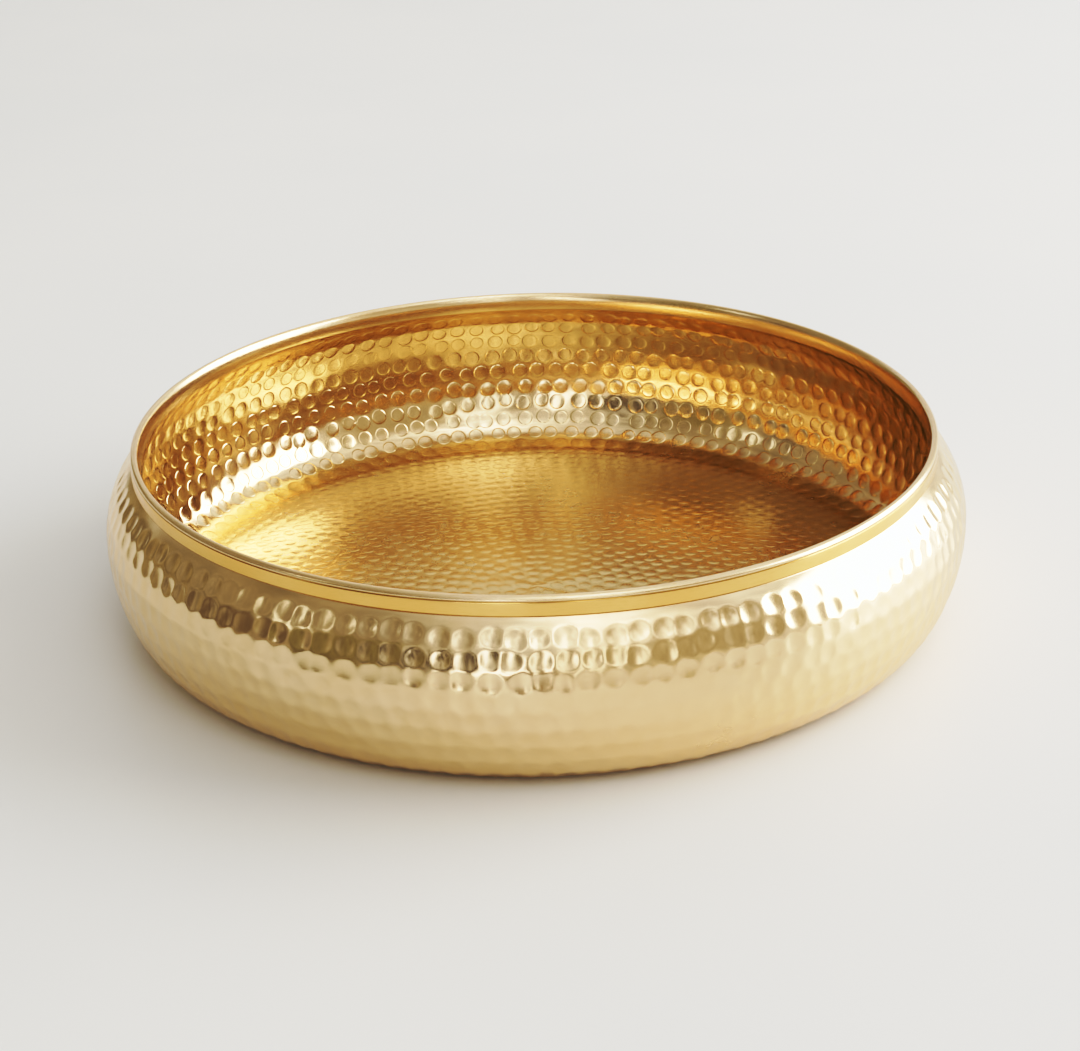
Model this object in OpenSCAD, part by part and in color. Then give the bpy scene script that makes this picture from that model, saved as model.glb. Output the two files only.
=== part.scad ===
// Round hammered serving bowl: a raised sheet shell whose upright neck is capped by a rim band,
// with a wire ring closed inside the head of the band.
// Origin: on the axis, at the underside of the floor. +Z is up. Millimetres.

/* [Bowl] */
// Widest diameter, across the belly
belly_d = 350; // [320:5:400]
// Height from the underside of the floor to the top of the rim
bowl_h = 75; // [72:0.5:78]
// Thickness of the sheet that the shell is raised from
sheet_t = 1; // [0.8:0.1:1.4]

/* [Wall] */
// Height of the widest point
belly_h = 39; // [37:0.5:41]
// Radius of the wall's curve below the widest point
belly_r = 65; // [55:1:80]
// Radius of the shoulder's curve above the widest point
shoulder_r = 37; // [36:1:45]
// Radius of the heel, where the wall turns under into the floor
heel_r = 19; // [14:1:22]

/* [Rim] */
// Width across the rim band, from its inner face to its outer face
band_w = 4; // [3.4:0.2:6]
// Height of the rim band's legs and head together
band_h = 7.5; // [6:0.5:9]
// Gap left between the butted ends of the wire ring
wire_gap = 1.5; // [0.5:0.5:5]

/* [Hidden] */
$fn = 180;

// A length longer than any part of the profile, for clipping shapes
past = belly_d;

// The three curves of the wall, each by the centre that it turns about
belly_x = belly_d / 2 - belly_r;
shoulder_x = belly_d / 2 - shoulder_r;
// The heel's circle lies inside the belly's circle and touches it, so the two curves run together
heel_x = belly_x + sqrt(pow(belly_r - heel_r, 2) - pow(belly_h - heel_r, 2));
heel_angle = atan2(heel_r - belly_h, heel_x - belly_x);

// The neck is the sheet's edge hemmed double, so it's two sheets thick, and the wire is as thick
band_bottom = bowl_h - band_h;
hem_t = 2 * sheet_t;
wire_r = hem_t / 2;
neck_outer_r = shoulder_x + sqrt(pow(shoulder_r, 2) - pow(band_bottom - belly_h, 2));
rim_r = neck_outer_r - wire_r;
head_r = band_w / 2;
head_z = bowl_h - head_r;
neck_top = head_z - wire_r;
wire_gap_angle = wire_gap / rim_r * 180 / PI;

// A sheet bent round a centre at the origin, between two angles, with its outside at radius r
module bent_sheet(r, from_angle, to_angle) {
    intersection() {
        difference() {
            circle(r = r);
            circle(r = r - sheet_t);
        }
        polygon([
            [0, 0],
            past * [cos(from_angle), sin(from_angle)],
            past * [cos(to_angle), sin(to_angle)]
        ]);
    }
}

// The shoulder is cut off level, where the neck stands on it
module shoulder_sheet() {
    intersection() {
        difference() {
            circle(r = shoulder_r);
            circle(r = shoulder_r - sheet_t);
        }
        square([past, band_bottom - belly_h]);
    }
}

// Half section of the shell, from the axis out along the floor and up to the edge of the neck
module shell_section() {
    square([heel_x, sheet_t]);
    translate([heel_x, heel_r]) bent_sheet(heel_r, -90, heel_angle);
    translate([belly_x, belly_h]) bent_sheet(belly_r, heel_angle, 0);
    translate([shoulder_x, belly_h]) shoulder_sheet();
    translate([neck_outer_r - hem_t, band_bottom]) square([hem_t, neck_top - band_bottom]);
}

// Half section of the band: two straight legs and a round head, round a slot for neck and wire
module band_section() {
    difference() {
        union() {
            translate([-head_r, band_bottom]) square([band_w, head_z - band_bottom]);
            translate([0, head_z]) circle(r = head_r);
        }
        translate([0, head_z]) circle(r = wire_r);
        translate([-wire_r, band_bottom - past]) square([hem_t, head_z - band_bottom + past]);
    }
}

module bowl_shell() {
    color([0.79, 0.65, 0.38]) rotate_extrude() shell_section();
}

module rim_band() {
    color([0.85, 0.68, 0.33]) rotate_extrude() translate([rim_r, 0]) band_section();
}

module rim_wire() {
    color([0.72, 0.56, 0.27])
        rotate([0, 0, wire_gap_angle / 2])
            rotate_extrude(angle = 360 - wire_gap_angle)
                translate([rim_r, head_z]) circle(r = wire_r);
}

bowl_shell();
rim_band();
rim_wire();
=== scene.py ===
"""Hammered brass bowl on a pale floor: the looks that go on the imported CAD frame. Metres, +Z up."""

import math

import bpy
import numpy as np
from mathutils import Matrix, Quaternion, Vector


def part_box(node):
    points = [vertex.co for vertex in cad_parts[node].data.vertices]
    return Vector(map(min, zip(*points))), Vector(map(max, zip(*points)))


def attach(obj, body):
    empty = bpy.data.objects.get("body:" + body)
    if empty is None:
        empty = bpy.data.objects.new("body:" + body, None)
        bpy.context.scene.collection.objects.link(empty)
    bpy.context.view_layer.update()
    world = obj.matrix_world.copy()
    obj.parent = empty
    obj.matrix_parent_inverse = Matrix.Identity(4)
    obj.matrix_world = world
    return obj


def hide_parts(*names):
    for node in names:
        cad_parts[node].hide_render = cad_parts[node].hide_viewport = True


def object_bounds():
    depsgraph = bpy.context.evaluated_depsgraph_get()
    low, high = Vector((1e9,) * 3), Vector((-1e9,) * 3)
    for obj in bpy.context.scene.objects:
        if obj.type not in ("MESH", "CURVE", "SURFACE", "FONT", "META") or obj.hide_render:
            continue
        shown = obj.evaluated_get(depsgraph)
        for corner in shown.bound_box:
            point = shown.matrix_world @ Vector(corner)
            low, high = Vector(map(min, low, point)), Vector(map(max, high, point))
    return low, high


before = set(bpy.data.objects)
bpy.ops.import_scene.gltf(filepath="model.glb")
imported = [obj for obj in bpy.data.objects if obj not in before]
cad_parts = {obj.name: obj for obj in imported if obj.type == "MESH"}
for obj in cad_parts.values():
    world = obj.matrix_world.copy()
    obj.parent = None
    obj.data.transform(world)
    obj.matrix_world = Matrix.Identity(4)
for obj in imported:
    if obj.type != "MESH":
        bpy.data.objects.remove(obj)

MM = 0.001
cad_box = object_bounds()

# ---- Shell: the CAD's own driving dimensions, and what follows from them ----

SHEET_T = 1 * MM
BELLY_H = 39 * MM
BELLY_R = 65 * MM
SHOULDER_R = 37 * MM
HEEL_R = 19 * MM
HEM_T = 2 * SHEET_T

shell_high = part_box("bowl_shell")[1]
band_low, band_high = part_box("rim_band")
wire_low, wire_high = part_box("rim_wire")

belly_x = shell_high.x - BELLY_R
shoulder_x = shell_high.x - SHOULDER_R
heel_x = belly_x + math.sqrt((BELLY_R - HEEL_R) ** 2 - (BELLY_H - HEEL_R) ** 2)
heel_angle = math.atan2(HEEL_R - BELLY_H, heel_x - belly_x)
shoulder_angle = math.asin((band_low.z - BELLY_H) / SHOULDER_R)
neck_x = shoulder_x + SHOULDER_R * math.cos(shoulder_angle)

# ---- Hammer marks: sizes ----

SEED = 7
ROW_PITCH = 7.8 * MM
MARK_PITCH = 8.8 * MM
# The first row's centres lie this far below the band, which leaves a smooth strip between
FIRST_ROW = 8.5 * MM
# Marks wander by this share of the pitch along their row and this far across it, and each one's size and
# depth differ from the usual by up to these shares
WANDER = 0.1
ROW_DRIFT = 0.45 * MM
SIZE_SPREAD = 0.08
DEPTH_SPREAD = 0.2
# Outside: shallow round pits that meet in ridges
PIT_REACH = 4.2 * MM
PIT_DEPTH = 0.42 * MM
PIT_POWER = 2
# Inside: each blow shows as a bump with a steeper edge
BUMP_REACH = 3.4 * MM
BUMP_HEIGHT = 0.18 * MM
BUMP_POWER = 4
# On the flat floor the marks are smaller, closer together and lower than on the wall, by these shares
FLOOR_SIZE = 0.75
FLOOR_SHARE = 0.7
# How sharply two neighbouring marks meet
SOFTNESS = 0.015 * MM
# Marks of a row on each side of a point that can still reach it
NEAR = 3
# In reaches: how far off a row's line is still worth working out, and what stands for further than that
ROW_NEAR = 2
FAR = 3
# The sheet is out of true by up to this much, always inwards from the CAD's outside, in waves that each
# have a count round the bowl and a way along the outline over which they turn by one radian
UNEVEN = 0.25 * MM
UNEVEN_WAVES = [(3, 40 * MM), (5, -23 * MM)]

# ---- Mesh fineness ----

# Rings of points lie this far apart along the outline. Round the bowl each has the most points, or half as
# many over and over where they would otherwise crowd closer than the least segment
WALL_STEP = 0.95 * MM
FLOOR_STEP = 0.9 * MM
MOST_SEGMENTS = 1152
LEAST_SEGMENTS = 9
LEAST_SEGMENT = 0.5 * MM
BAND_SEGMENTS = 720

# ---- View ----

# How far the camera stands from the bowl's middle, the angle up to it and its tilt, the point that it looks
# at, and its lens in millimetres
VIEW_DISTANCE = 1.015
VIEW_ELEVATION = math.radians(23.84)
VIEW_ROLL = math.radians(-1.45)
VIEW_AIM = Vector((1.5, -3.3, 30.3)) * MM
VIEW_LENS = 82.1

random = np.random.default_rng(SEED)


# ---- The shell's outline: stretches of the outer profile, from the axis out and up ----

class Straight:
    """A straight stretch from start to end, both (radius, height), facing one way throughout."""

    def __init__(self, start, end, facing, thickness=SHEET_T):
        self.start, self.end = np.array(start), np.array(end)
        self.facing, self.thickness = facing, thickness
        self.length = np.linalg.norm(self.end - self.start)

    def at(self, along):
        place = self.start + (self.end - self.start) * along / self.length
        return place, self.facing


class Arc:
    """A round stretch about a centre, from one angle to another."""

    def __init__(self, centre, radius, from_angle, to_angle, thickness=SHEET_T):
        self.centre, self.radius, self.from_angle = np.array(centre), radius, from_angle
        self.thickness = thickness
        self.length = radius * (to_angle - from_angle)

    def at(self, along):
        angle = self.from_angle + along / self.radius
        place = self.centre + self.radius * np.array([math.cos(angle), math.sin(angle)])
        return place, angle


neck_top = (wire_low.z + wire_high.z) / 2 - HEM_T / 2
FLOOR = Straight((0, 0), (heel_x, 0), -math.pi / 2)
HEEL = Arc((heel_x, HEEL_R), HEEL_R, -math.pi / 2, heel_angle)
BELLY = Arc((belly_x, BELLY_H), BELLY_R, heel_angle, 0)
SHOULDER = Arc((shoulder_x, BELLY_H), SHOULDER_R, 0, shoulder_angle)
NECK = Straight((neck_x, band_low.z), (neck_x, neck_top), 0, HEM_T)
STRETCHES = [FLOOR, HEEL, BELLY, SHOULDER, NECK]
neck_start = sum(stretch.length for stretch in STRETCHES[:-1])


def outline_radius(along):
    """Distance from the axis at an arc length along the outline."""
    for stretch in STRETCHES:
        if along <= stretch.length:
            break
        along -= stretch.length
    return stretch.at(along)[0][0]


class Ring:
    """One ring of points round the shell, before the marks: its place on the outline and its angles."""

    def __init__(self, along, place, facing, thickness):
        self.along, self.place, self.thickness = along, place, thickness
        self.normal = np.array([math.cos(facing), math.sin(facing)])
        count = MOST_SEGMENTS
        while count > LEAST_SEGMENTS and 2 * math.pi * place[0] / count < LEAST_SEGMENT:
            count //= 2
        if place[0] == 0:
            count = 1
        self.angles = np.arange(count) * 2 * math.pi / count

    def points(self, inwards):
        """The ring's points, each moved inwards, square to the sheet, by its own distance."""
        radius = self.place[0] - self.normal[0] * inwards
        height = self.place[1] - self.normal[1] * inwards
        return np.column_stack([radius * np.cos(self.angles), radius * np.sin(self.angles), height])


def outline_rings():
    """Rings from the axis to the top of the neck, close enough together to carry the marks."""
    rings = [Ring(0, np.zeros(2), -math.pi / 2, SHEET_T)]
    start = 0
    for stretch in STRETCHES:
        step = FLOOR_STEP if stretch is FLOOR else WALL_STEP
        count = math.ceil(stretch.length / step)
        for k in range(1, count + 1):
            along = stretch.length * k / count
            place, facing = stretch.at(along)
            rings.append(Ring(start + along, place, facing, stretch.thickness))
        start += stretch.length
    return rings


# ---- Hammer marks: where they lie and how deep they are ----

class Row:
    """One row of blows round the bowl: where each lies, and how its size and depth differ from the usual."""

    def __init__(self, along, size, stagger):
        self.along = along
        self.radius = outline_radius(along)
        self.count = max(1, round(2 * math.pi * self.radius / (MARK_PITCH * size)))
        turns = np.arange(self.count) + stagger + random.normal(0, WANDER, self.count)
        self.angles = np.sort(turns * 2 * math.pi / self.count)
        self.drift = random.normal(0, ROW_DRIFT * size, self.count)
        self.size = size * (1 + SIZE_SPREAD * random.uniform(-1, 1, self.count))
        self.depth = 1 + DEPTH_SPREAD * random.uniform(-1, 1, self.count)

    def near(self, angles):
        """For each angle, the marks of this row that can reach it."""
        beside = np.arange(self.count)
        if self.count > 2 * NEAR:
            beside = np.arange(-NEAR, NEAR)
        return (np.searchsorted(self.angles, angles)[:, None] + beside) % self.count


def hammer_rows():
    """Rows from just below the band, down the wall and in over the floor to the centre."""
    rows = []
    along = neck_start - FIRST_ROW
    while along > 0:
        size = FLOOR_SIZE if along < FLOOR.length else 1
        rows.append(Row(along, size, stagger=len(rows) % 2 / 2))
        along -= ROW_PITCH * size
    return rows


def marks_at(ring, rows, reach, depth, power):
    """How far the marks go at each point of a ring, the deeper one where two meet, and how far off the
    nearest mark's middle is, as a share of its reach."""
    total = np.zeros(len(ring.angles))
    nearest = np.full(len(ring.angles), FAR)
    for row in rows:
        if abs(row.along - ring.along) > ROW_NEAR * reach:
            continue
        k = row.near(ring.angles)
        turn = ring.angles[:, None] - row.angles[k]
        across = 4 * ring.place[0] * row.radius * np.sin(turn / 2) ** 2
        away = np.sqrt((ring.along - row.along - row.drift[k]) ** 2 + across) / (reach * row.size[k])
        total += np.exp(depth * row.depth[k] * (1 - away ** power) / SOFTNESS).sum(axis=1)
        nearest = np.minimum(nearest, away.min(axis=1))
    return SOFTNESS * np.log1p(total), nearest


def slow_waves(angles, waves):
    """Waves round the bowl, each (count, where it starts), added up and scaled to lie from 0 to 1."""
    total = sum(1 + np.sin(count * angles + start) for count, start in waves)
    return total / (2 * len(waves))


def unevenness(ring):
    """Slow inward waves over the whole sheet, fading out under the band."""
    fade = np.clip((neck_start - ring.along) / FIRST_ROW, 0, 1)
    waves = [(count, ring.along / one_radian) for count, one_radian in UNEVEN_WAVES]
    return UNEVEN * fade * slow_waves(ring.angles, waves)


# ---- Meshes ----

def bridge(a, b, first_a, first_b):
    """Faces between two rings of points: one to one, two to one, or a fan round a single point."""
    if a < b:
        return [face[::-1] for face in bridge(b, a, first_b, first_a)]
    j = np.arange(b)
    near, far = first_b + j, first_b + (j + 1) % b
    if b == 1:
        j = np.arange(a)
        return np.column_stack([first_a + j, first_a + (j + 1) % a, np.full(a, first_b)]).tolist()
    if a == b:
        return np.column_stack([first_a + j, first_a + (j + 1) % a, far, near]).tolist()
    one, two, three = first_a + 2 * j, first_a + 2 * j + 1, first_a + (2 * j + 2) % a
    faces = [(one, two, near), (two, far, near), (two, three, far)]
    return np.vstack([np.column_stack(face) for face in faces]).tolist()


def mesh_from_rings(name, rings, closed=False):
    """A smooth object whose skin runs from ring to ring, and back to the first one if it's closed."""
    starts = np.cumsum([0] + [len(ring) for ring in rings])
    pairs = list(zip(range(len(rings) - 1), range(1, len(rings))))
    if closed:
        pairs.append((len(rings) - 1, 0))
    faces = []
    for a, b in pairs:
        faces += bridge(len(rings[a]), len(rings[b]), starts[a], starts[b])
    mesh = bpy.data.meshes.new(name)
    mesh.from_pydata(np.vstack(rings).tolist(), [], faces)
    mesh.shade_smooth()
    piece = bpy.data.objects.new(name, mesh)
    bpy.context.collection.objects.link(piece)
    return piece


def place_piece(piece, node, material):
    """Gives a piece its finish, hangs it on the root body, and hides the CAD part that it stands in for."""
    piece.data.materials.append(material)
    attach(piece, "root")
    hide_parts(node)


def hammered_shell(material):
    """The whole sheet as one closed skin: up the outside, over the neck, and back down the inside. Each
    point also carries, for the finish, how far it is from the nearest mark's middle, in reaches, and how
    high the marks are raised there, 0 outside and 1 on the inside wall."""
    rows = hammer_rows()
    outside, inside, pit_edges, bump_edges, raised = [], [], [], [], []
    for ring in outline_rings():
        uneven = unevenness(ring)
        share = FLOOR_SHARE if ring.along < FLOOR.length else 1
        pit, pit_edge = marks_at(ring, rows, PIT_REACH, PIT_DEPTH, PIT_POWER)
        bump, bump_edge = marks_at(ring, rows, BUMP_REACH, BUMP_HEIGHT * share, BUMP_POWER)
        outside.append(ring.points(pit + uneven))
        inside.append(ring.points(ring.thickness + bump + uneven))
        pit_edges.append(pit_edge)
        bump_edges.append(bump_edge)
        raised.append(np.full(len(bump), share))
    piece = mesh_from_rings("hammered_shell", outside + inside[::-1])
    from_mark = piece.data.attributes.new("from_mark", "FLOAT", "POINT")
    from_mark.data.foreach_set("value", np.concatenate(pit_edges + bump_edges[::-1]))
    raised_marks = piece.data.attributes.new("raised", "FLOAT", "POINT")
    flat = [np.zeros(len(around)) for around in raised]
    raised_marks.data.foreach_set("value", np.concatenate(flat + raised[::-1]))
    place_piece(piece, "bowl_shell", material)


# ---- Rim ----

# The rounding of the band's two bottom edges
BAND_ROUND = 0.25 * MM
# Hand finishing leaves slow waves in the outer faces: their depth, and each one's count and start
BAND_UNEVEN = 0.08 * MM
BAND_WAVES = [(7, 0), (11, 1)]
# The crease between the round head and the flat face under it, outside
CREASE = 0.25 * MM
# How far down the inside the head's rounding reaches
ROLL = 5 * MM
# The head's outer curve starts this many degrees round from the crease's level
HEAD_START = 15
HEAD_STEPS = 20
LEG_STEPS = 5
CORNER_STEPS = 3

crest_x = wire_high.x - HEM_T / 2
crease_z = band_high.z - (band_high.x - crest_x)


def band_section():
    """The band's outline, (radius, height): up the outer face, over the head, and down round the slot."""
    half = band_high.x - crest_x
    slot = HEM_T / 2
    low = band_low.z
    roll_z = band_high.z - ROLL

    def arc(centre_x, centre_z, across, up, from_degrees, to_degrees, steps):
        turn = np.radians(np.linspace(from_degrees, to_degrees, steps + 1))
        return [(crest_x + centre_x + across * math.cos(t), centre_z + up * math.sin(t)) for t in turn]

    def corner(side, from_degrees):
        middle, r = side * (half - BAND_ROUND), BAND_ROUND
        return arc(middle, low + r, r, r, from_degrees, from_degrees + 90, CORNER_STEPS)

    points = corner(1, -90)
    leg = np.linspace(low + 2 * BAND_ROUND, crease_z - 2 * CREASE, LEG_STEPS)
    points += [(crest_x + half, z) for z in leg]
    points += [(crest_x + half - CREASE / 2, crease_z - CREASE / 2)]
    points += [(crest_x + half - CREASE, crease_z)]
    points += [(crest_x + half - CREASE / 2, crease_z + CREASE / 2)]
    points += arc(0, crease_z, half, half, HEAD_START, 90, HEAD_STEPS // 2)
    points += arc(0, roll_z, half, ROLL, 90, 180, HEAD_STEPS)[1:]
    points += corner(-1, 180)
    points += [(crest_x - slot, low)]
    points += arc(0, crease_z, slot, slot, 180, 0, HEAD_STEPS // 2)
    points += [(crest_x + slot, low)]
    return points


def polished_band(material):
    """The band as one swept skin, with the slight waves of hand finishing on its outer faces."""
    angles = np.arange(BAND_SEGMENTS) * 2 * math.pi / BAND_SEGMENTS
    wave = BAND_UNEVEN * slow_waves(angles, BAND_WAVES)
    rings = []
    for x, z in band_section():
        radius = x - wave * (x > neck_x)
        height = np.full(BAND_SEGMENTS, z)
        rings.append(np.column_stack([radius * np.cos(angles), radius * np.sin(angles), height]))
    piece = mesh_from_rings("polished_rim_band", rings, closed=True)
    place_piece(piece, "rim_band", material)


# Between the wire's two ends
WIRE_GAP = 1.5 * MM
WIRE_POINTS = 360
WIRE_SIDES = 4


def rim_wire(material):
    """The wire closed inside the band's head: one open turn of round wire, its ends a small gap apart."""
    radius = (wire_high.z - wire_low.z) / 2
    turn = wire_high.x - radius
    half_gap = WIRE_GAP / turn / 2
    curve = bpy.data.curves.new("closed_in_wire", "CURVE")
    curve.dimensions = "3D"
    curve.bevel_depth = radius
    curve.bevel_resolution = WIRE_SIDES
    curve.use_fill_caps = True
    line = curve.splines.new("POLY")
    line.points.add(WIRE_POINTS - 1)
    for point, angle in zip(line.points, np.linspace(half_gap, 2 * math.pi - half_gap, WIRE_POINTS)):
        point.co = (turn * math.cos(angle), turn * math.sin(angle), wire_low.z + radius, 1)
    piece = bpy.data.objects.new("closed_in_wire", curve)
    bpy.context.collection.objects.link(piece)
    place_piece(piece, "rim_wire", material)


# ---- Materials ----

# The colour sockets of a Mix node, whose names it also gives to its other sockets
MIX_A = 6
MIX_B = 7
MIX_RESULT = 2


class Nodes:
    """A material's or world's node tree, with short ways to add what the finishes here need."""

    def __init__(self, owner):
        owner.use_nodes = True
        self.tree = owner.node_tree
        self.nodes, self.links = self.tree.nodes, self.tree.links

    def add(self, kind, inputs=None, **settings):
        node = self.nodes.new(kind)
        for name, value in settings.items():
            setattr(node, name, value)
        for name, value in (inputs or {}).items():
            if isinstance(value, bpy.types.NodeSocket):
                self.links.new(value, node.inputs[name])
            else:
                node.inputs[name].default_value = value
        return node

    def math(self, operation, *values):
        return self.add("ShaderNodeMath", dict(enumerate(values)), operation=operation).outputs[0]

    def noise(self, place, scale, detail=2.0, roughness=0.5):
        inputs = {"Vector": place, "Scale": scale, "Detail": detail, "Roughness": roughness}
        return self.add("ShaderNodeTexNoise", inputs).outputs["Fac"]

    def spread(self, value, low, high, to_low=0.0, to_high=1.0):
        """Carries value from the range low to high over to another range, without going past its ends."""
        inputs = {"Value": value, "From Min": low, "From Max": high, "To Min": to_low, "To Max": to_high}
        return self.add("ShaderNodeMapRange", inputs, interpolation_type="SMOOTHSTEP").outputs[0]

    def mix(self, factor, a, b):
        node = self.add("ShaderNodeMix", {"Factor": factor}, data_type="RGBA")
        for socket, value in ((node.inputs[MIX_A], a), (node.inputs[MIX_B], b)):
            if isinstance(value, bpy.types.NodeSocket):
                self.links.new(value, socket)
            else:
                socket.default_value = (*value, 1)
        return node.outputs[MIX_RESULT]

    def place(self):
        return self.add("ShaderNodeTexCoord").outputs["Object"]

    def polar(self, place, turn_scale):
        """Place as (angle round the bowl, distance from its axis, height), the angle drawn out."""
        parts = self.add("ShaderNodeSeparateXYZ", {0: place}).outputs
        angle = self.math("ARCTAN2", parts[1], parts[0])
        flat = self.add("ShaderNodeCombineXYZ", {"X": parts[0], "Y": parts[1]}).outputs[0]
        distance = self.add("ShaderNodeVectorMath", {0: flat}, operation="LENGTH").outputs["Value"]
        angle = self.math("MULTIPLY", angle, turn_scale)
        return self.add("ShaderNodeCombineXYZ", {"X": angle, "Y": distance, "Z": parts[2]}).outputs[0]


def metal(name):
    material = bpy.data.materials.new(name)
    nodes = Nodes(material)
    shader = nodes.nodes["Principled BSDF"]
    shader.inputs["Metallic"].default_value = 1
    return material, nodes, shader


# The range that most of a noise's values lie in, and a narrower one for patches with clearer edges
NOISE_RANGE = (0.3, 0.7)
PATCH_RANGE = (0.35, 0.65)

# The shell's clouds, mottling and grain: how closely they lie, in waves a metre
CLOUD_SCALE = 16
MOTTLE_SCALE = 150
GRAIN_SCALE = 1400
# The levels of the mottling that show as wear and as dull spots
WORN_RANGE = (0.45, 0.7)
SPOT_RANGE = (0.4, 0.7)
# How much of the shell's own tone each of these covers at most; the low one is painted shade
WORN_COVER = 0.3
FILM_COVER = 0.3
FLOOR_COVER = 0.8
LOW_SHADE_COVER = 0.5
# The shell's roughness over the clouds, and how much each of these adds at most
SHELL_DULL = (0.11, 0.17)
SPOT_DULL = 0.04
LOW_DULL = 0.07
FLOOR_DULL = 0.09
# The crisp edge of each raised mark: a step in the surface, between these shares of the mark's reach
EDGE_INNER = 0.86
EDGE_OUTER = 1.02
EDGE_STEP = 0.1 * MM
# How far each way from the mark's reach its film of tarnish spreads, as a share of that reach
FILM_REACH = 0.12
# Heights between which the wall's finish gives way to the inside floor's
WALL_FINISH = 6 * MM
FLOOR_FINISH = 2 * MM
# The fine grain left by polishing
GRAIN_DEPTH = 0.03 * MM
GRAIN_STRENGTH = 0.08


def shell_brass():
    """Planished pale brass: cloudy tone, a warm film that gathers round the raised marks, and fine hand
    wear, duller on the outside below the shoulder and on the inside floor, with a darker, warmer tone
    painted on the outside low down as shade."""
    bright, cloudy, worn = (0.88, 0.68, 0.43), (0.86, 0.64, 0.38), (0.80, 0.58, 0.32)
    # The last of these tones is painted shade for the outside low down, where the bowl mirrors its shaded
    # floor
    filmed, on_floor, below = (0.62, 0.44, 0.18), (0.64, 0.485, 0.25), (0.83, 0.60, 0.32)
    material, nodes, shader = metal("shell_brass")
    place = nodes.place()
    clouds = nodes.noise(place, CLOUD_SCALE, detail=4)
    mottle = nodes.noise(place, MOTTLE_SCALE, detail=3)
    grain = nodes.noise(place, GRAIN_SCALE, detail=2)
    from_mark = nodes.add("ShaderNodeAttribute", attribute_name="from_mark").outputs["Fac"]
    raised = nodes.add("ShaderNodeAttribute", attribute_name="raised").outputs["Fac"]
    height = nodes.add("ShaderNodeSeparateXYZ", {0: place}).outputs[2]

    inside = nodes.spread(raised, 0, FLOOR_SHARE)
    outside = nodes.spread(raised, 0, FLOOR_SHARE, 1, 0)
    floor_part = nodes.math("MULTIPLY", nodes.spread(height, WALL_FINISH, FLOOR_FINISH), inside)
    low_part = nodes.math("MULTIPLY", nodes.spread(height, BELLY_H, HEEL_R), outside)
    off_edge = nodes.math("ABSOLUTE", nodes.math("SUBTRACT", from_mark, 1.0))
    film = nodes.math("MULTIPLY", nodes.spread(off_edge, 0, FILM_REACH, FILM_COVER, 0), raised)

    tone = nodes.mix(nodes.spread(clouds, *PATCH_RANGE), bright, cloudy)
    tone = nodes.mix(nodes.spread(mottle, *WORN_RANGE, 0, WORN_COVER), tone, worn)
    tone = nodes.mix(film, tone, filmed)
    tone = nodes.mix(nodes.math("MULTIPLY", floor_part, FLOOR_COVER), tone, on_floor)
    # Painted shade: the outside low down is tinted darker and warmer, standing in for the shaded floor that
    # it mirrors
    tone = nodes.mix(nodes.math("MULTIPLY", low_part, LOW_SHADE_COVER), tone, below)
    nodes.links.new(tone, shader.inputs["Base Color"])

    dull = nodes.spread(clouds, *NOISE_RANGE, *SHELL_DULL)
    dull = nodes.math("ADD", dull, nodes.spread(mottle, *SPOT_RANGE, 0, SPOT_DULL))
    dull = nodes.math("MULTIPLY_ADD", low_part, LOW_DULL, dull)
    dull = nodes.math("MULTIPLY_ADD", floor_part, FLOOR_DULL, dull)
    nodes.links.new(dull, shader.inputs["Roughness"])

    step = nodes.math("MULTIPLY", nodes.spread(from_mark, EDGE_INNER, EDGE_OUTER, 1, 0), raised)
    crisp = nodes.add("ShaderNodeBump", {"Strength": 1.0, "Distance": EDGE_STEP, "Height": step})
    fine = nodes.add("ShaderNodeBump", {"Strength": GRAIN_STRENGTH, "Distance": GRAIN_DEPTH, "Height": grain})
    nodes.links.new(crisp.outputs[0], fine.inputs["Normal"])
    nodes.links.new(fine.outputs[0], shader.inputs["Normal"])
    return material


# The band's polishing lines: how closely they lie, in waves a metre, and the metres that a radian round
# the bowl counts as, which draws them out
LINE_SCALE = 2600
LINE_STRETCH = 0.02
# The levels of the lines that show darker, how much darker those are, and how far the lines stand out
LINED_RANGE = (0.45, 0.75)
LINED_COVER = 0.3
LINE_STRENGTH = 0.2
BAND_CLOUD_SCALE = 30
# How far the dark lines reach from the crease and from the foot, and how dark they are: dirt and painted
# shade in the crease, painted shadow at the foot
DARK_LINE = 0.5 * MM
DIRT_AND_SHADE_COVER = 0.7
# The band's roughness over its lines, and how much more there is over the head and down the inside
BAND_DULL = (0.1, 0.18)
SATIN_DULL = 0.08


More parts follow.
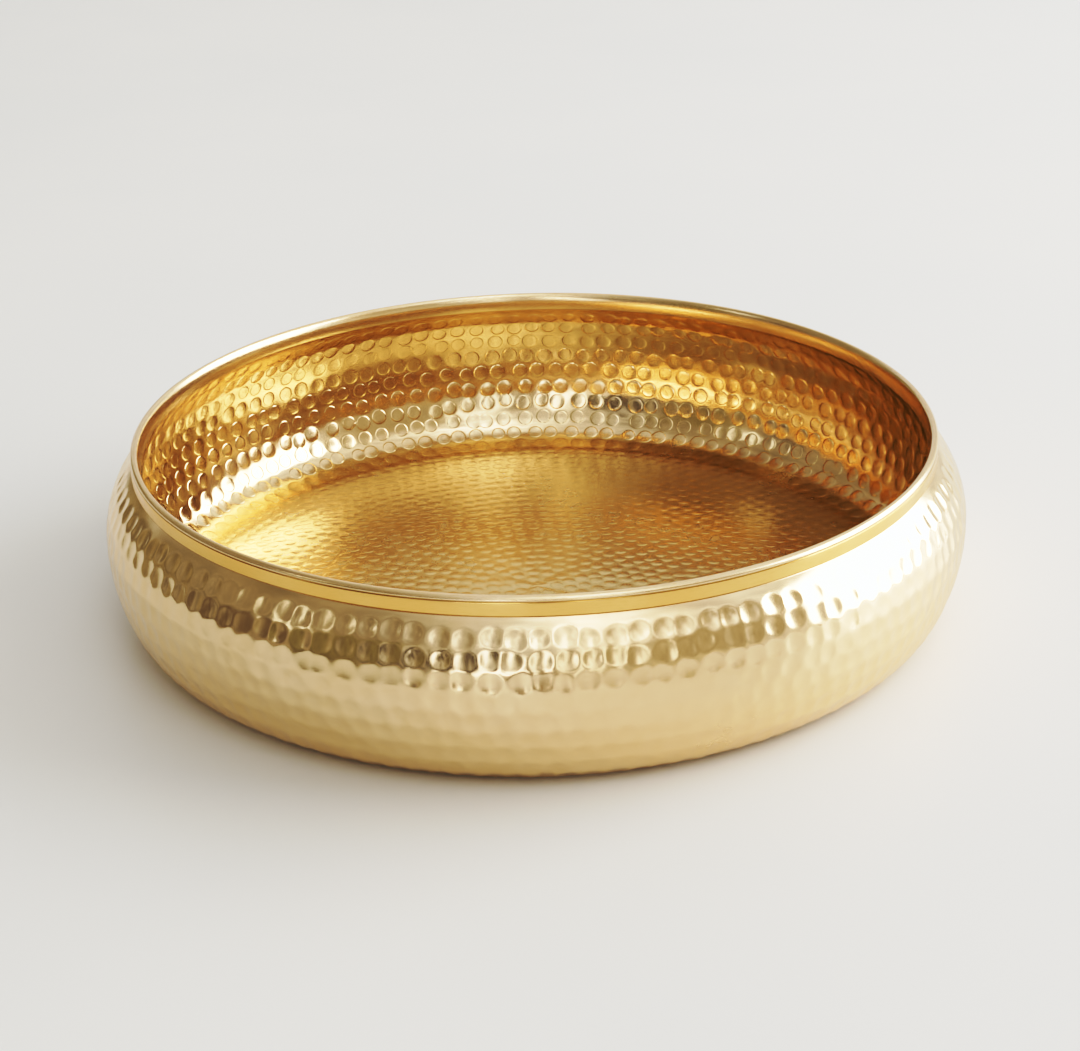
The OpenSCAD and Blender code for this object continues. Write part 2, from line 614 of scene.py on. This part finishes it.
def band_brass():
    """Yellow brass, polished on the outer face and paler and more satin over the head and down the
    inside, with polishing lines that run round it and dark lines in the crease and at the foot: dirt
    and painted shade in the crease, painted shadow at the foot."""
    yellow, deep_yellow = (0.87, 0.565, 0.23), (0.85, 0.525, 0.20)
    pale, deep_pale = (0.88, 0.69, 0.45), (0.86, 0.65, 0.40)
    lined, dirt_and_shade_tone = (0.74, 0.48, 0.16), (0.3, 0.17, 0.06)
    material, nodes, shader = metal("band_brass")
    polar = nodes.polar(nodes.place(), LINE_STRETCH)
    _, distance, height = nodes.add("ShaderNodeSeparateXYZ", {0: polar}).outputs
    lines = nodes.noise(polar, LINE_SCALE, detail=2)
    clouds = nodes.spread(nodes.noise(nodes.place(), BAND_CLOUD_SCALE, detail=3), *PATCH_RANGE)

    outer_side = nodes.math("GREATER_THAN", distance, crest_x)
    below_head = nodes.spread(height, crease_z + DARK_LINE, crease_z)
    outer_face = nodes.math("MULTIPLY", outer_side, below_head)
    off_crease = nodes.math("ABSOLUTE", nodes.math("SUBTRACT", height, crease_z))
    in_crease = nodes.math("MULTIPLY", nodes.spread(off_crease, 0, DARK_LINE, 1, 0), outer_side)
    at_foot = nodes.spread(height, band_low.z, band_low.z + DARK_LINE, 1, 0)
    # Darker in the crease and at the foot: dirt and painted shade in the crease, painted shadow where the
    # band meets the sheet
    dirt_and_shade = nodes.math("MULTIPLY", nodes.math("MAXIMUM", in_crease, at_foot), DIRT_AND_SHADE_COVER)

    head = nodes.mix(clouds, pale, deep_pale)
    face = nodes.mix(clouds, yellow, deep_yellow)
    tone = nodes.mix(outer_face, head, face)
    tone = nodes.mix(nodes.spread(lines, *LINED_RANGE, 0, LINED_COVER), tone, lined)
    # The dark lines: dirt and painted shade in the crease, painted shadow at the foot
    tone = nodes.mix(dirt_and_shade, tone, dirt_and_shade_tone)
    nodes.links.new(tone, shader.inputs["Base Color"])

    satin = nodes.spread(outer_face, 0, 1, SATIN_DULL, 0)
    dull = nodes.math("ADD", nodes.spread(lines, *NOISE_RANGE, *BAND_DULL), satin)
    nodes.links.new(dull, shader.inputs["Roughness"])
    bump = nodes.add("ShaderNodeBump", {"Strength": LINE_STRENGTH, "Distance": GRAIN_DEPTH, "Height": lines})
    nodes.links.new(bump.outputs[0], shader.inputs["Normal"])
    return material


# The wire's draw lines, measured as the band's are, and its roughness over them
DRAW_SCALE = 1800
DRAW_STRETCH = 0.01
WIRE_DULL = (0.3, 0.45)


def wire_brass():
    """Drawn brass wire, dull from lying closed in, with faint draw lines along it."""
    light, dark = (0.74, 0.52, 0.2), (0.6, 0.4, 0.15)
    material, nodes, shader = metal("wire_brass")
    lines = nodes.noise(nodes.polar(nodes.place(), DRAW_STRETCH), DRAW_SCALE)
    nodes.links.new(nodes.mix(lines, light, dark), shader.inputs["Base Color"])
    nodes.links.new(nodes.spread(lines, *NOISE_RANGE, *WIRE_DULL), shader.inputs["Roughness"])
    return material


PAINT_CLOUD_SCALE = 3
PAINT_DULL = (0.35, 0.45)


def floor_paint():
    """Smooth pale surface with faint warm and cool clouds."""
    warm, cool = (0.84, 0.83, 0.80), (0.80, 0.80, 0.78)
    material = bpy.data.materials.new("pale_floor")
    nodes = Nodes(material)
    shader = nodes.nodes["Principled BSDF"]
    clouds = nodes.noise(nodes.place(), PAINT_CLOUD_SCALE, detail=3)
    tone = nodes.mix(nodes.spread(clouds, *NOISE_RANGE), warm, cool)
    nodes.links.new(tone, shader.inputs["Base Color"])
    nodes.links.new(nodes.spread(clouds, *NOISE_RANGE, *PAINT_DULL), shader.inputs["Roughness"])
    return material


# ---- Surroundings ----

FLOOR_REACH = 4.5
FLOOR_SIDES = 96

# Light of the room by direction: warm and dim on the left, plain overhead and on the right, paler
# low down behind the bowl, and a little dimmer low down on the viewer's side
ROOM_LEFT = (0.36, 0.325, 0.26)
ROOM_RIGHT = (1.06, 1.05, 1.03)
BEHIND_BOWL = (0.85, 0.84, 0.82)
FRONT_LEFT = (0.5, 0.44, 0.35)
FRONT_RIGHT = (0.85, 0.83, 0.78)
# Where each light gives way to the next, by how far the direction points right, away and up
LEFT_TO_RIGHT = (-0.65, 0.1)
FRONT_LEFT_TO_RIGHT = (-0.8, -0.3)
TO_BEHIND = (0.45, 0.8)
TO_FRONT = (-0.15, -0.45)
HIGH_TO_LOW = (0.6, 0.4)
# Dark and light things in the room, for the metal to mirror: the turn to each one's middle from the
# viewer's own direction and half its width, in degrees, its foot and its top as heights on a ball of
# radius 1, and its light
THINGS = [
    ("bright_ceiling", 20, 30, 0.7, 0.95, (1.6, 1.6, 1.6)),
    ("ceiling_light", 26, 20, 0.78, 0.93, (3.0, 3.0, 3.0)),
    ("lamp_shade", -70, 4, 0.3, 0.6, (2.2, 2.2, 2.1)),
    ("doorway", -27, 9, 0.1, 0.42, (0.12, 0.11, 0.09)),
    ("gap_left_of_viewer", -13, 4, -0.1, 0.4, (3.0, 3.0, 3.0)),
    ("gap_right_of_viewer", 15, 5, 0.1, 0.6, (2.3, 2.3, 2.2)),
    ("viewer", 1, 8, -0.1, 0.4, (0.36, 0.29, 0.22)),
    ("curtain", 43, 20, 0.2, 0.6, (0.52, 0.46, 0.36)),
    ("shelf", 38, 16, 0.0, 0.2, (0.75, 0.69, 0.56)),
    ("cupboard", -86, 9, 0.0, 0.4, (0.2, 0.175, 0.13)),
    ("pot_plant", -52, 13, -0.1, 0.5, (0.26, 0.24, 0.15)),
    ("leaves", -128, 22, -0.2, 0.3, (0.32, 0.28, 0.19)),
]
# Half the width of their soft edges, in degrees and in height
THING_EDGE = 3
THING_EDGE_HEIGHT = 0.05
# How far those edges waver, in degrees and in height, and how closely
WAVER = 7
WAVER_HEIGHT = 0.12
WAVER_SCALE = 6
# How much small clutter lightens and darkens the room, and how closely
CLUTTER = 0.3
CLUTTER_SCALE = 9
# Light of the plain backdrop, which only the camera sees, past the edge of the floor
BACKDROP = (1.08, 1.07, 1.05)

# The window's middle, its size, and its power in watts
WINDOW_AT = (2.0, 0.35, 0.85)
WINDOW_SIZE = (2.2, 1.6)
WINDOW_POWER = 66


def floor():
    """A wide round floor at the bowl's foot."""
    turns = np.arange(FLOOR_SIDES) * 2 * math.pi / FLOOR_SIDES
    edge = np.column_stack([np.cos(turns), np.sin(turns), 0 * turns]) * FLOOR_REACH
    centre = np.array([[0, 0, cad_box[0][2]]])
    piece = mesh_from_rings("floor", [edge + centre, centre])
    piece.data.materials.append(floor_paint())


def room():
    """Light from all round, dimmest on the left, with dark and light things for the metal to mirror, and
    a plain pale backdrop in their place for the camera."""
    world = bpy.data.worlds.new("room")
    bpy.context.scene.world = world
    nodes = Nodes(world)
    towards = nodes.add("ShaderNodeTexCoord").outputs["Generated"]
    x, y, z = nodes.add("ShaderNodeSeparateXYZ", {0: towards}).outputs
    low_down = nodes.spread(z, *HIGH_TO_LOW)

    light = nodes.mix(nodes.spread(x, *LEFT_TO_RIGHT), ROOM_LEFT, ROOM_RIGHT)
    back_wall = nodes.math("MULTIPLY", nodes.spread(y, *TO_BEHIND), low_down)
    light = nodes.mix(back_wall, light, BEHIND_BOWL)
    front_wall = nodes.math("MULTIPLY", nodes.spread(y, *TO_FRONT), low_down)
    front_light = nodes.mix(nodes.spread(x, *FRONT_LEFT_TO_RIGHT), FRONT_LEFT, FRONT_RIGHT)
    light = nodes.mix(front_wall, light, front_light)

    waver = nodes.spread(nodes.noise(towards, WAVER_SCALE), *NOISE_RANGE, -1, 1)
    turn = nodes.math("ARCTAN2", x, nodes.math("MULTIPLY", y, -1))
    turn = nodes.math("MULTIPLY_ADD", waver, math.radians(WAVER), turn)
    height = nodes.math("MULTIPLY_ADD", waver, WAVER_HEIGHT, z)
    for _, middle, half_width, foot, top, thing_light in THINGS:
        off_middle = nodes.math("ABSOLUTE", nodes.math("SUBTRACT", turn, math.radians(middle)))
        outer, inner = math.radians(half_width + THING_EDGE), math.radians(half_width - THING_EDGE)
        wide = nodes.spread(off_middle, outer, inner)
        above_foot = nodes.spread(height, foot - THING_EDGE_HEIGHT, foot + THING_EDGE_HEIGHT)
        below_top = nodes.spread(height, top + THING_EDGE_HEIGHT, top - THING_EDGE_HEIGHT)
        inside = nodes.math("MULTIPLY", wide, nodes.math("MULTIPLY", above_foot, below_top))
        light = nodes.mix(inside, light, thing_light)
    clutter = nodes.noise(towards, CLUTTER_SCALE)
    clutter = nodes.spread(clutter, *NOISE_RANGE, 1 - CLUTTER, 1 + CLUTTER)
    mirrored = nodes.nodes["Background"]
    nodes.links.new(light, mirrored.inputs["Color"])
    nodes.links.new(clutter, mirrored.inputs["Strength"])

    backdrop = nodes.add("ShaderNodeBackground", {"Color": (*BACKDROP, 1)})
    to_camera = nodes.add("ShaderNodeLightPath").outputs["Is Camera Ray"]
    sides = {0: to_camera, 1: mirrored.outputs[0], 2: backdrop.outputs[0]}
    seen = nodes.add("ShaderNodeMixShader", sides).outputs[0]
    nodes.links.new(seen, nodes.nodes["World Output"].inputs["Surface"])


def window():
    """The main light: a large soft window low on the right, aimed at the bowl."""
    lamp = bpy.data.lights.new("window", "AREA")
    lamp.shape = "RECTANGLE"
    lamp.size, lamp.size_y = WINDOW_SIZE
    lamp.energy = WINDOW_POWER
    item = bpy.data.objects.new("window", lamp)
    item.location = WINDOW_AT
    item.rotation_euler = (-Vector(WINDOW_AT)).to_track_quat("-Z", "Y").to_euler()
    item.visible_camera = False
    bpy.context.collection.objects.link(item)


def camera():
    """The photographer's view: from in front and above, the right side tipped down a little."""
    centre = (Vector(cad_box[0]) + Vector(cad_box[1])) / 2
    back = Vector((0, -math.cos(VIEW_ELEVATION), math.sin(VIEW_ELEVATION)))
    lens = bpy.data.cameras.new("camera")
    lens.lens = VIEW_LENS
    item = bpy.data.objects.new("camera", lens)
    item.location = Vector((0, 0, centre.z)) + VIEW_DISTANCE * back
    aim = (VIEW_AIM - item.location).to_track_quat("-Z", "Y")
    item.rotation_euler = (aim @ Quaternion((0, 0, 1), VIEW_ROLL)).to_euler()
    bpy.context.collection.objects.link(item)
    bpy.context.scene.camera = item


# How bright each level of light in the scene shows: deep shadows, and highlights that pale slowly
TONE = [
    (0.1, 0.04), (0.2, 0.13), (0.35, 0.3), (0.6, 0.52),
    (0.85, 0.69), (1.1, 0.79), (1.6, 0.9), (2.5, 0.98),
]
# The light that shows as full white
WHITE_LIGHT = 4


def photo_tone():
    """The contrast of a daylight product photograph, as one curve for all colours."""
    view = bpy.context.scene.view_settings
    view.view_transform = "Standard"
    view.use_curve_mapping = True
    view.curve_mapping.white_level = [WHITE_LIGHT] * 3
    combined = view.curve_mapping.curves[3]
    for light, shown in TONE:
        combined.points.new(light / WHITE_LIGHT, shown)
    view.curve_mapping.update()


# ---- Scene ----

camera()
hammered_shell(shell_brass())
polished_band(band_brass())
rim_wire(wire_brass())
floor()
room()
window()
photo_tone()
